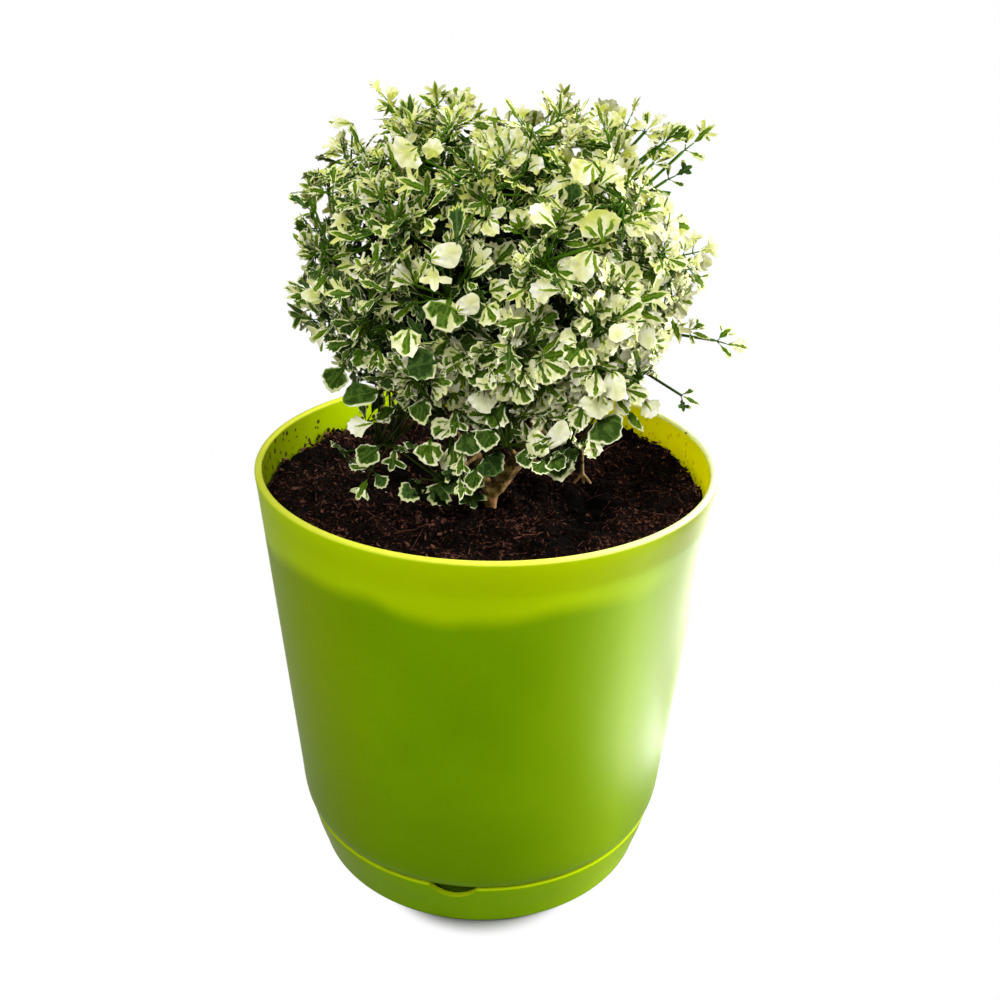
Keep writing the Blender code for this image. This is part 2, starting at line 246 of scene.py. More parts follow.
pot = {
    "steps": 144,
    "wall": 2.6,  # mm, as every length below
    "rimRadius": 80.0,
    "rimHeight": 156.0,
    "shoulderRadius": 68.6,
    "shoulderHeight": 24.0,
    "floor": 9.0,
    "footRing": (44.0, 2.6, 2.5),  # outer radius, width, height of its foot
    "drainHoles": 6,
    "drainCircle": 28.0,
    "drainRadius": 3.5,
    # Radius and height along its stepped foot: up the inside and down the outside.
    "innerStep": [(60.2, 22.4), (61.4, 24.0), (64.6, 26.2), (66.2, 28.4)],
    "outerStep": [(69.3, 31.0), (68.95, 27.6), (68.5, 24.9), (67.9, 22.9), (67.2, 21.6), (66.6, 20.9),
                  (66.0, 20.6), (63.4, 20.4), (63.0, 20.1)],
    "colours": ("#6e9700", "#78a100"),
}
tray = {
    "steps": 144,
    "wall": 2.2,
    "lipRadius": 67.0,
    "height": 20.1,
    "heelRadius": 62.5,
    "heelRound": 3.0,
    "notchAngle": -7.5,  # degrees from the front, towards -X
    "notchWidth": 17.0,
    "notchDepth": 4.8,
    "colours": ("#76a000", "#80aa00"),
}


def roundCorner(middle, radius, fromAngle, toAngle, count):
    points = []
    for i in range(count + 1):
        angle = math.radians(fromAngle + (toAngle - fromAngle) * i / count)
        points.append((middle[0] + radius * math.cos(angle), middle[1] + radius * math.sin(angle)))
    return points


# Rings are extruded and resized one after another, then both ends are closed.
def turnOnLathe(name, profile, steps):
    deselect()
    radius, height = profile[0]
    bpy.ops.mesh.primitive_circle_add(vertices=steps, radius=radius * mm, location=(0, 0, 0))
    thing = bpy.context.object
    thing.name = thing.data.name = name
    bpy.ops.object.mode_set(mode="EDIT")
    bpy.ops.mesh.select_all(action="SELECT")
    bpy.ops.transform.translate(value=(0, 0, height * mm))
    for nextRadius, nextHeight in profile[1:]:
        lift = (nextHeight - height) * mm
        bpy.ops.mesh.extrude_region_move(TRANSFORM_OT_translate={"value": (0, 0, lift)})
        size = nextRadius / radius
        bpy.ops.transform.resize(value=(size, size, 1), center_override=(0, 0, 0))
        radius, height = nextRadius, nextHeight
    bpy.ops.mesh.edge_face_add()
    bpy.ops.mesh.select_all(action="DESELECT")
    bpy.ops.mesh.select_non_manifold()
    bpy.ops.mesh.edge_face_add()
    bpy.ops.mesh.select_all(action="SELECT")
    bpy.ops.mesh.normals_make_consistent(inside=False)
    bpy.ops.object.mode_set(mode="OBJECT")
    return thing


def cutWith(thing, cutter):
    applyModifier(thing, "BOOLEAN", operation="DIFFERENCE", solver="EXACT", object=cutter)
    bpy.data.objects.remove(cutter, do_unlink=True)


def buildPot():
    rim, top, wall = pot["rimRadius"], pot["rimHeight"], pot["wall"]
    shoulder, low, floor = pot["shoulderRadius"], pot["shoulderHeight"], pot["floor"]
    slope = (rim - shoulder) / (top - low)
    ring, width, foot = pot["footRing"]
    lip = wall / 2
    profile = [(5.0, floor + wall), (54.0, floor + wall)]
    profile += roundCorner((54.4, floor + wall + 3.0), 3.0, -90, -12, 4)
    profile += pot["innerStep"]
    for height in (40, 60, 80, 100, 120, 138, 150):
        profile.append((shoulder - wall + slope * (height - low), height))
    profile += roundCorner((rim - lip, top - lip), lip, 180, 0, 10)
    for height in (150, 138, 120, 100, 80, 60, 44, 36):
        profile.append((shoulder + slope * (height - low), height))
    profile += pot["outerStep"]
    profile += roundCorner((56.6, floor + 2.6), 2.6, -8, -90, 4)
    profile += [(ring, floor), (ring, foot + 0.5), (ring - 0.5, foot), (ring - width + 0.5, foot)]
    profile += [(ring - width, foot + 0.5), (ring - width, floor), (5.0, floor)]
    shell = turnOnLathe("moulded_planter_pot", profile, pot["steps"])
    deselect()
    for i in range(pot["drainHoles"] + 1):
        angle = 2 * math.pi * i / pot["drainHoles"]
        circle = pot["drainCircle"] * mm if i < pot["drainHoles"] else 0.0
        bpy.ops.mesh.primitive_cylinder_add(
            vertices=32, radius=pot["drainRadius"] * mm, depth=12 * mm,
            location=(circle * math.cos(angle), circle * math.sin(angle), floor * mm))
        if i:
            holes.select_set(True)
            bpy.context.view_layer.objects.active = holes
            bpy.ops.object.join()
        holes = bpy.context.object
    cutWith(shell, holes)
    smoothByAngle(shell, 32)
    look = plasticMaterial("gloss moulded lime polypropylene", True, pot["colours"])
    finishPiece(shell, look, "lime_plastic", "planter_pot")
    print("pot", len(shell.data.polygons))


def buildTray():
    lip, top, wall = tray["lipRadius"], tray["height"], tray["wall"]
    heel, bend = tray["heelRadius"], tray["heelRound"]
    profile = [(5.0, wall), (heel - bend, wall)]
    profile += roundCorner((heel - bend, bend), bend - wall, -90, -10, 4)
    profile += [(heel - wall + 2.6, 12.0), (lip - wall, top - 1.2)]
    profile += roundCorner((lip - wall + 0.5, top - 0.5), 0.5, 180, 90, 3)
    profile += roundCorner((lip - 0.5, top - 0.5), 0.5, 90, 0, 3)
    profile += [(lip - 0.35, top - 2.0), (heel + 2.6, 11.5)]
    profile += roundCorner((heel - bend, bend), bend, 0, -90, 10)
    profile += [(5.0, 0.0)]
    shell = turnOnLathe("moulded_drip_tray", profile, tray["steps"])
    half, depth = tray["notchWidth"] / 2, tray["notchDepth"]
    radius = (half**2 + depth**2) / (2 * depth)
    angle = math.radians(tray["notchAngle"])
    outward = Vector((math.sin(angle), -math.cos(angle), 0.0))
    middle = outward * (lip - wall / 2)
    middle.z = top - depth + radius
    deselect()
    bpy.ops.mesh.primitive_cylinder_add(
        vertices=72, radius=radius * mm, depth=5 * wall * mm,
        location=middle * mm, rotation=outward.to_track_quat("Z", "Y").to_euler())
    cutWith(shell, bpy.context.object)
    smoothByAngle(shell, 32)
    # The lip and the notch's edge are marked for a painted highlight, a paler colour where light catches
    # them.
    edges = shell.data.attributes.new("thinEdge", "FLOAT", "FACE")
    for face in shell.data.polygons:
        corners = [shell.data.vertices[i].co / mm for i in face.vertices]
        onLip = all(corner.z > top - 0.6 for corner in corners)
        across = [corner - outward * corner.dot(outward) for corner in corners]
        onNotch = all(abs((point - Vector((0, 0, middle.z))).length - radius) < 0.05 for point in across)
        edges.data[face.index].value = 1.0 if onLip or onNotch else 0.0
    look = plasticMaterial("gloss moulded lime polypropylene tray", False, tray["colours"])
    finishPiece(shell, look, "lime_plastic", "drip_tray")
    print("tray", len(shell.data.polygons))


def plasticMaterial(name, dirtAndPaintedLight, tones):
    # Moulded polypropylene: an even colour, a soft gloss with faint orange peel, a little dust.
    # The wall lets light through, so it is paler and yellower where no mix lies behind it; light and shade
    # are also painted into its colour, step by step below.
    material, add = newMaterial(name)
    place = add("TexCoord").outputs["Object"]
    # The melt's own unevenness, in patches of about 40 mm.
    patches = add("TexNoise", {"Vector": place, "Scale": 25.0, "Detail": 2.0})
    colour = add("ValToRGB", (patches,), [(0.3, tones[0]), (0.7, tones[1])])
    x, y, z = add("SeparateXYZ", (place,)).outputs
    # Painted light: it is painted a little yellower on the left.
    paintedWarmLight = add("MapRange SMOOTHSTEP", (x, -0.02, -0.07, 0.0, 0.6))
    colour = add("MixRGB", (paintedWarmLight, colour, "#8a9a00"))
    # Painted light and shade: on the right it is painted paler where the light falls, and then darker where
    # it turns away from the light.
    across = add("MapRange", (x, -0.08, 0.08))
    paintedLitSide = add("ValToRGB", (across,), [
        (0.56, (0, 0, 0)), (0.80, (0.9, 0.9, 0.9)), (0.97, (0, 0, 0))])
    colour = add("MixRGB", (paintedLitSide, colour, "#88a800"))
    paintedTurnedShade = add("MapRange SMOOTHSTEP", (x, 0.045, 0.067, 0.0, 0.8))
    colour = add("MixRGB", (paintedTurnedShade, colour, "#5a6800"))
    if dirtAndPaintedLight:
        # Painted shade: towards the bottom it is a little darker.
        paintedLowShade = add("MapRange SMOOTHSTEP", (z, 0.09, 0.025, 0.0, 0.4))
        colour = add("MixRGB", (paintedLowShade, colour, "#587a00"))
        # The mix meets the wall along a wavy line, about 60 mm from wave to wave. Above it the wall is
        # painted paler, a painted band of light that fades towards the right.
        flat = add("CombineXYZ", (x, y))
        wave = add("TexNoise", {"Vector": flat, "Scale": 17.0, "Detail": 2.0})
        level = add("Math MULTIPLY_ADD", (wave, -0.022, z))
        glow = add("MapRange SMOOTHSTEP", (level, 0.1225, 0.13))
        fade = add("MapRange SMOOTHSTEP", (x, 0.024, 0.066, 1.0, 0.0))
        glow = add("Math MULTIPLY", (glow, fade))
        colour = add("MixRGB", (glow, colour, "#a9c600"))
        # Above the mix, light comes through the wall; its share rises from left to right, most where the
        # softbox is behind it. The inner wall is painted dark on the left and paler further round, painted
        # shade and painted light.
        bare = add("MapRange SMOOTHSTEP", (z, 0.1415, 0.1465))
        throughByLight = add("MapRange SMOOTHSTEP", (x, -0.072, 0.072, 0.06, 0.36))
        radius = add("VectorMath LENGTH", (flat,)).outputs["Value"]
        inside = add("Math LESS_THAN", (radius, 0.0778))
        above = add("Math GREATER_THAN", (z, 0.134))
        inside = add("Math MULTIPLY", (inside, above))
        bare = add("Math MAXIMUM", (inside, bare))
        share = add("Math MULTIPLY", (bare, throughByLight))
        paintedInnerLight = add("ValToRGB", (across,), [
            (0.03, "#5c6c00"), (0.2, "#a8c400"), (0.4, "#c4e000"), (0.8, "#aebe00")])
        colour = add("MixRGB", (inside, colour, paintedInnerLight))
        # Painted highlight: the rim's top is painted pale, palest on the right, and lets less light through.
        rim = add("MapRange SMOOTHSTEP", (z, 0.1546, 0.1556))
        thick = add("Math MULTIPLY_ADD", (rim, -0.7, 1.0))
        share = add("Math MULTIPLY", (share, thick))
        pale = add("ValToRGB", (across,), [
            (0.05, "#b6be36"), (0.3, "#d6dc44"), (0.6, "#ecee58"), (0.95, "#e8f4c2")])
        colour = add("MixRGB", (rim, colour, pale))
        # Dried mix is splashed in small dots on the inner wall, fewer with height.
        dots = add("TexVoronoi", {"Vector": place, "Scale": 420.0})  # about 2.4 mm apart
        pick = add("SeparateColor", (dots.outputs["Color"],))
        patchy = add("TexNoise", {"Vector": place, "Scale": 60.0, "Detail": 2.0})
        least = add("MapRange", (z, 0.143, 0.157, 0.73, 1.23))
        least = add("Math MULTIPLY_ADD", (patchy, -0.9, least))
        size = add("Math SUBTRACT", (pick, least))
        size = add("Math MULTIPLY", (size, 1.5))
        size = add("Math MINIMUM", (size, 0.4))
        dirt = add("Math LESS_THAN", (dots.outputs["Distance"], size))
        dirt = add("Math MULTIPLY", (dirt, inside))
        colour = add("MixRGB", (dirt, colour, "#2c1a10"))
    else:
        # Painted highlight along the lip and the notch's edge.
        edge = add("Attribute thinEdge").outputs["Fac"]
        colour = add("MixRGB", (edge, colour, "#a6be0c"))
    peel = add("TexNoise", {"Vector": place, "Scale": 450.0, "Detail": 1.0})  # about 2 mm
    grain = add("TexNoise", {"Vector": place, "Scale": 4000.0, "Detail": 1.0})  # about 0.25 mm
    rough = add("MapRange", {"Value": patches, "To Min": 0.37, "To Max": 0.45})
    bump = add("Bump", {"Height": peel, "Strength": 0.2, "Distance": 0.02 * mm})
    bump = add("Bump", {"Height": grain, "Strength": 0.2, "Distance": 0.01 * mm, "Normal": bump})
    shader = add("BsdfPrincipled", {
        "Base Color": colour, "Roughness": rough, "Normal": bump, "IOR": 1.49, "Specular IOR Level": 0.024,
        "Specular Tint": "#c8d200", "Subsurface Weight": 0.4, "Subsurface Scale": 3 * mm,
        "Subsurface Radius": (1.0, 1.0, 0.15)})
    if dirtAndPaintedLight:
        through = add("BsdfTranslucent", ("#fff800",))
        shader = add("MixShader", (share, shader, through))
    add("OutputMaterial", (shader,))
    return material


soil = {
    "height": 143.4,  # mm, as every length below
    "mound": 2.2,
    "clods": 2.9,
    "hollow": (34.5, -17.0, 8.5, 12.0, 3.2),  # a dip that is also painted darker as shade: its place, its half widths and its depth
    "gap": 0.45,  # to the pot's wall
    "rings": 40,
    "steps": 180,
    "crumbs": 2600,
    "chips": 0.1,  # share of the crumbs that are flat reddish chips
    "crumbSizes": (0.9, 2.8),  # the smallest, and what the largest have more
    "chipSizes": (1.2, 2.8),
    "speckSizes": (0.8, 1.5),
    "edgeCrumbs": 620,
    "fibres": 460,
    "specks": 12,
    "raisedLight": 0.11,  # painted light: how much paler a crumb that stands up 1 mm is
    "hollowShade": 0.2,  # painted shade: how much darker the hollow is
    "seed": 7,
}
stemFoot = Vector((1.5, -20.0, 143.4))  # mm


# 1 in the middle of the hollow, 0 away from it.
def inHollow(x, y):
    centreX, centreY, halfX, halfY = soil["hollow"][:4]
    return math.exp(-(((x - centreX) / halfX) ** 2) - ((y - centreY) / halfY) ** 2)


# How far the mix stands above its mean level at a place, in mm, with clods of 5 to 12 mm.
def soilRelief(x, y):
    fromStem = math.hypot(x - stemFoot.x, y - stemFoot.y)
    mound = soil["mound"] * math.exp(-((fromStem / 24.0) ** 2))
    waves = math.sin(x / 13 + 0.6) * math.cos(y / 15) + 0.6 * math.sin(y / 8 + x / 19)
    point = Vector((x, y, 0.0))
    clods = soil["clods"] * (noise.noise(point / 8.0) + 0.55 * noise.noise(point / 3.4))
    return mound + waves + clods - soil["hollow"][-1] * inHollow(x, y)


def soilRadius(height):
    slope = (pot["rimRadius"] - pot["shoulderRadius"]) / (pot["rimHeight"] - pot["shoulderHeight"])
    return pot["shoulderRadius"] - pot["wall"] - soil["gap"] + slope * (height - pot["shoulderHeight"])


def buildSoil():
    top = soil["height"]
    edge = soilRadius(top)
    profile = [(edge * (i + 0.6) / soil["rings"], top) for i in range(soil["rings"])]
    profile[-1] = (edge, top)
    profile += [(soilRadius(120), 120), (soilRadius(80), 80), (soilRadius(40), 40), (65.0, 28.8)]
    profile += [(60.6, 25.6), (59.0, 22.0), (55.0, 12.4), (6.0, 12.4)]
    mix = turnOnLathe("loose_cocopeat_mix", profile, soil["steps"])
    mesh = mix.data
    # Crumbs of 1 to 3 mm on the clods; where they stand up they are painted paler, a painted highlight, and
    # the hollow is painted darker, a painted shade.
    tones = mesh.attributes.new("tone", "FLOAT", "POINT")
    for vertex in mesh.vertices:
        if vertex.co.z < (top - 0.5) * mm:
            continue
        x, y = vertex.co.x / mm, vertex.co.y / mm
        point = Vector((x, y, 0.0))
        crumbs = noise.noise(point / 1.5) + 0.6 * abs(noise.noise(point / 0.9))
        vertex.co.z += (soilRelief(x, y) + crumbs) * mm
        tone = soil["raisedLight"] * max(0.0, crumbs) - soil["hollowShade"] * inHollow(x, y)
        tones.data[vertex.index].value = tone
    chance = random.Random(soil["seed"])
    work = bmesh.new()
    work.from_mesh(mesh)
    addCrumbs(work, chance, edge)
    addFibres(work, chance, edge)
    work.to_mesh(mesh)
    work.free()
    smoothByAngle(mix, 50)
    finishPiece(mix, soilMaterial(), "cocopeat", "potting_soil")
    print("potting mix", len(mesh.polygons))


def soilPlace(chance, edge):
    turn = chance.uniform(0, 2 * math.pi)
    reach = edge * math.sqrt(chance.random())
    x, y = reach * math.cos(turn), reach * math.sin(turn)
    return Vector((x, y, soil["height"] + soilRelief(x, y)))


def setValue(mesh, name, value):
    attribute = mesh.attributes.get(name) or mesh.attributes.new(name, "FLOAT", "POINT")
    for item in attribute.data:
        item.value = value


# Six lumps, each an icosphere pushed out of round.
def crumbBlanks():
    blanks = []
    for number in range(6):
        deselect()
        bpy.ops.mesh.primitive_ico_sphere_add(subdivisions=1, radius=0.5 * mm)
        thing = bpy.context.object
        for vertex in thing.data.vertices:
            vertex.co *= 1 + 0.9 * noise.noise(vertex.co / mm * 2.1 + Vector((number * 9.1, 0, 0)))
        blanks.append(thing.data.copy())
        bpy.data.objects.remove(thing, do_unlink=True)
    return blanks


def addCrumbs(work, chance, edge):
    blanks = crumbBlanks()
    white = [blank.copy() for blank in blanks]
    for blank in white:
        setValue(blank, "speck", 1.0)
    for number, blank in enumerate(blanks):
        setValue(blank, "tone", 0.035 * number)  # some crumbs are drier, so paler
    chips = [blank.copy() for blank in blanks[:3]]
    for number, blank in enumerate(chips):
        setValue(blank, "tone", 0.17 + 0.08 * number)
    plain = soil["crumbs"] + soil["edgeCrumbs"]
    small, more = soil["crumbSizes"]
    for i in range(plain + soil["specks"]):
        speck = i >= plain
        place = soilPlace(chance, edge - 1.0)
        size = chance.uniform(*soil["speckSizes"]) if speck else small + more * chance.random() ** 3
        if soil["crumbs"] <= i < plain:  # banked up on the wall
            outward = Vector((place.x, place.y, 0)).normalized()
            place = outward * (edge - 0.75 * size)
            place.z = soil["height"] + soilRelief(place.x, place.y) + chance.uniform(-0.5, 1.5)
        angle = chance.uniform(0, math.tau)
        turn = Matrix.Rotation(angle, 4, Vector((chance.gauss(0, 1), chance.gauss(0, 1), 1)))
        chip = not speck and chance.random() < soil["chips"] * (1 - inHollow(place.x, place.y))
        if chip:
            size = chance.uniform(*soil["chipSizes"])
        wide, thick = ((0.25, 0.5), (0.12, 0.25)) if chip else ((0.3, 0.6), (0.25, 0.5))
        squash = Matrix.Diagonal((size, size * chance.uniform(*wide), size * chance.uniform(*thick), 1))
        lift = Matrix.Translation((place + up * (0.12 * size + (0.5 if speck or chip else 0.0))) * mm)
        addCopy(work, chance.choice(white if speck else chips if chip else blanks), lift @ turn @ squash)


# Coir fibres lie on the mix: short ones everywhere and a long pale one now and then.
def addFibres(work, chance, edge):
    tone = work.verts.layers.float["tone"]
    for i in range(soil["fibres"]):
        place = soilPlace(chance, edge - 2.0) + up * 0.6
        heading = chance.uniform(0, math.tau)
        long = i % 36 == 0
        length = chance.uniform(8, 18) if long else chance.uniform(2, 6)
        points = 5 if long else 3
        line = []
        for step in range(points):
            heading += chance.uniform(-0.35, 0.35)
            line.append(place.copy())
            place = place + Vector((math.cos(heading), math.sin(heading), 0)) * length / (points - 1)
            if math.hypot(place.x, place.y) > edge - 1.0:
                break
            place.z = soil["height"] + soilRelief(place.x, place.y) + chance.uniform(0.3, 1.5)
        if len(line) > 2:
            pale = chance.uniform(0.12, 0.3) + (0.12 if long else 0.0)
            for vertex in addThread(work, line, chance.uniform(0.08, 0.15)):
                vertex[tone] = pale


# A closed three-sided tube along a line, in mm.
def addThread(work, line, radius):
    rings = []
    for i, point in enumerate(line):
        along = (line[min(i + 1, len(line) - 1)] - line[max(i - 1, 0)]).normalized()
        side = along.orthogonal().normalized()
        over = along.cross(side)
        ring = []
        for corner in range(3):
            turn = corner * math.tau / 3
            out = side * math.cos(turn) + over * math.sin(turn)
            ring.append(work.verts.new((point + out * radius) * mm))
        rings.append(ring)
    for low, high in zip(rings, rings[1:]):
        for corner in range(3):
            after = (corner + 1) % 3
            work.faces.new((low[corner], low[after], high[after], high[corner]))
    work.faces.new(rings[0][::-1])
    work.faces.new(rings[-1])
    return [vertex for ring in rings for vertex in ring]


def soilMaterial():
    # Damp cocopeat: nearly black brown, matt, with paler reddish fibres and dry crumbs.
    material, add = newMaterial("damp cocopeat potting mix")
    place = add("TexCoord").outputs["Object"]
    damp = add("TexNoise", {"Vector": place, "Scale": 55.0, "Detail": 3.0})
    grit = add("TexNoise", {"Vector": place, "Scale": 900.0, "Detail": 3.0})  # about 1 mm
    level = add("Math MULTIPLY_ADD", (damp, 0.45, grit))
    level = add("Math ADD", (level, add("Attribute tone").outputs["Fac"]))
    brown = add("ValToRGB", (level,), [
        (0.56, "#010100"), (0.72, "#070403"), (0.87, "#20110c"), (1.0, "#603e32")])
    colour = add("MixRGB", (add("Attribute speck").outputs["Fac"], brown, "#d8d4cc"))
    bump = add("Bump", {"Height": grit, "Strength": 0.7, "Distance": 0.4 * mm})
    shader = add("BsdfPrincipled", {
        "Base Color": colour, "Normal": bump, "Roughness": 0.95, "Specular IOR Level": 0.03})
    add("OutputMaterial", (shader,))
    return material


bark = {
    "voxel": 0.42,  # mm, as every length below
    "smoothing": 6,
    "knobs": 0.35,
    "twigVoxel": 0.2,
    "twigKnobs": 0.1,
    "footHeights": (146, 153),
    "footShare": 0.62,
}


# Between the mix and the fork the stem is thinner, by that share.
def narrowFoot(mesh):
    low, high = bark["footHeights"]
    foot = stemFoot * mm
    for vertex in mesh.vertices:
        rise = min(1.0, max(0.0, (vertex.co.z / mm - low) / (high - low)))
        share = bark["footShare"] + (1 - bark["footShare"]) * rise * rise * (3 - 2 * rise)
        vertex.co.x = foot.x + (vertex.co.x - foot.x) * share
        vertex.co.y = foot.y + (vertex.co.y - foot.y) * share


def buildWood(name, node, voxel, knobs, material, slot):
    wood = copyOfNode(name, node)
    applyModifier(wood, "REMESH", mode="VOXEL", voxel_size=voxel * mm, use_smooth_shade=True)
    applyModifier(wood, "SMOOTH", factor=0.5, iterations=bark["smoothing"])
    mesh = wood.data
    if node == "woody_stems":
        narrowFoot(mesh)
    normals = [vertex.normal.copy() for vertex in mesh.vertices]
    for vertex, normal in zip(mesh.vertices, normals):
        point = vertex.co / mm
        rough = noise.noise(point / 2.6) + 0.5 * noise.noise(point / 1.1)
        vertex.co += normal * rough * knobs * mm
    finishPiece(wood, material, slot, node)
    print(name, len(mesh.polygons))


def barkMaterial(name, dark, middle, pale):
    # Young bark: matt, tan with brown rings where leaves fell, and fine lengthwise cracks.
    material, add = newMaterial(name)
    place = add("TexCoord").outputs["Object"]
    rings = add("Mapping", {"Vector": place, "Scale": (120.0, 120.0, 520.0)})  # rings 2 mm apart
    rings = add("TexNoise", {"Vector": rings, "Scale": 1.0, "Detail": 3.0})
    cracks = add("Mapping", {"Vector": place, "Scale": (1900.0, 1900.0, 260.0)})
    cracks = add("TexNoise", {"Vector": cracks, "Scale": 1.0, "Detail": 2.0})
    level = add("Math MULTIPLY_ADD", (cracks, 0.5, rings))
    colour = add("ValToRGB", (level,), [(0.55, dark), (0.74, middle), (0.92, pale)])
    # It is paler and browner at the foot.
    height = add("SeparateXYZ", (place,)).outputs["Z"]
    foot = add("MapRange SMOOTHSTEP", (height, 0.152, 0.147, 0.0, 0.55))
    colour = add("MixRGB", (foot, colour, "#b98a58"))
    bump = add("Bump", {"Height": level, "Strength": 0.6, "Distance": 0.25 * mm})
    shader = add("BsdfPrincipled", {
        "Base Color": colour, "Normal": bump, "Roughness": 0.85, "Specular IOR Level": 0.12})
    add("OutputMaterial", (shader,))
    return material


# The leaves.
# Each shape is one leaflet's rim, as reaches from its middle, from its tip round to its foot in steps
# of 15 degrees, in shares of its length; width is how much it is widened, cup how far its rim is raised.
leafletShapes = {
    "round": {"length": 9.4, "width": 1.0, "middle": 0.54, "cup": 0.9, "ruffle": 0.55,
              "rim": (0.46, 0.43, 0.48, 0.43, 0.48, 0.43, 0.48, 0.43, 0.46, 0.42, 0.42, 0.42, 0.54)},
    "kidney": {"length": 8.8, "width": 1.2, "middle": 0.54, "cup": 0.7, "ruffle": 0.6,
               "rim": (0.39, 0.41, 0.45, 0.42, 0.48, 0.44, 0.50, 0.45, 0.48, 0.43, 0.42, 0.40, 0.54)},
    "fan": {"length": 9.8, "width": 1.05, "middle": 0.60, "cup": 0.8, "ruffle": 0.5,
            "rim": (0.41, 0.36, 0.43, 0.38, 0.45, 0.37, 0.41, 0.32, 0.30, 0.30, 0.34, 0.43, 0.60)},
    "wedge": {"length": 10.4, "width": 0.62, "middle": 0.62, "cup": 0.7, "ruffle": 0.4,
              "rim": (0.38, 0.27, 0.40, 0.30, 0.42, 0.33, 0.36, 0.28, 0.28, 0.29, 0.36, 0.46, 0.62)},
    "threeLobed": {"length": 10.2, "width": 1.1, "middle": 0.50, "cup": 1.1, "ruffle": 0.45,
                   "rim": (0.50, 0.43, 0.24, 0.31, 0.48, 0.45, 0.31, 0.20, 0.18, 0.20, 0.25, 0.33, 0.50)},
    "fingered": {"length": 10.8, "width": 1.15, "middle": 0.46, "cup": 1.2, "ruffle": 0.45,
                 "rim": (0.54, 0.33, 0.18, 0.44, 0.40, 0.17, 0.42, 0.30, 0.15, 0.16, 0.20, 0.28, 0.46)},
    "oval": {"length": 9.6, "width": 0.80, "middle": 0.50, "cup": -0.8, "ruffle": 0.25,
             "rim": (0.50, 0.48, 0.46, 0.46, 0.44, 0.45, 0.44, 0.43, 0.43, 0.43, 0.44, 0.47, 0.50)},
    "lance": {"length": 10.8, "width": 0.36, "middle": 0.48, "cup": 0.8, "ruffle": 0.2,
              "rim": (0.52, 0.44, 0.45, 0.38, 0.44, 0.37, 0.42, 0.35, 0.38, 0.36, 0.38, 0.42, 0.48)},
}
shapeNames = list(leafletShapes)
leaflet = {
    "rimPoints": 24,
    "thickness": 0.35,  # mm, as every length below
    "droop": 1.6,  # how far its tip hangs
    "uneven": 0.09,  # share by which the two sides differ
}
# For each kind of leaflet: how far its green runs out from the foot, how deep the green is parted
# into fingers (both in shares of the length), and how wide its cream edge is.
leafKinds = [
    (1.34, 0.05, 0.08), (1.12, 0.18, 0.13), (0.90, 0.30, 0.16), (0.70, 0.40, 0.14),
    (0.50, 0.40, 0.12), (0.24, 0.32, 0.08), (0.03, 0.08, 0.04), (1.45, 0.0, 0.0),
]
paintedShadeKind = 7  # the last kind: a leaf deep inside the crown, painted dark green all over as painted shade
crown = {
    "centre": (3, -8, 224),  # mm, as every length below
    # Its outline in the plane that leans back 25 degrees: degrees from the top towards +X, and reach.
    "outline": [
        (-180, 44), (-140, 50), (-120, 54), (-109, 55), (-99, 57), (-90, 58), (-81, 57), (-72, 62),
        (-62, 58), (-53, 53), (-43, 51), (-32, 52), (-22, 48), (-11, 43), (0, 40), (11, 35), (22, 48),
        (32, 54), (43, 49), (53, 44), (62, 52), (72, 50), (81, 51), (90, 56), (99, 52), (109, 53),
        (120, 51), (140, 49), (180, 44),
    ],
    "lean": 25.0,
    "depth": 52.0,
    "squareness": 2.3,
    "bumps": (2.5, 3.1),  # their height, and how close they are
    "tuft": (5.5, 15.0),  # how far a spray's leaves stand out over its tip, and its half width
    # Depth under the outline, number of leaves, how much greener they are: painted shade, deeper leaves
    # greener and darker.
    "layers": [(0.0, 470, 0.0), (8.0, 340, 0.26), (19.0, 220, 0.8), (31.0, 130, 1.0)],
    "radius": 58.0,
    "lowest": -0.86,
    "seed": 31,
    "clearing": 6.0,  # round a leaflet that stands out
    "outerDepth": 15.0,  # no leaf less deep than this grows in a clearing
    "lowestLeaf": 152,
    "heights": (165, 280),  # from the lowest leaves to the top
    "youngHeights": (180, 260),  # where sprays turn from old to young
    "longestPetiole": 30,
    "lowSprays": (172, 185),  # the sprays that start and end below these have leaves round their tip
    "lowLeaves": 3,  # on each of them
    "lowReaches": (6, 14),  # from the tip
    "lowLimits": (150, 178),  # their least height, and the one right of the stem
    "stemSide": 5,  # X from where a leaf is right of the stem
}
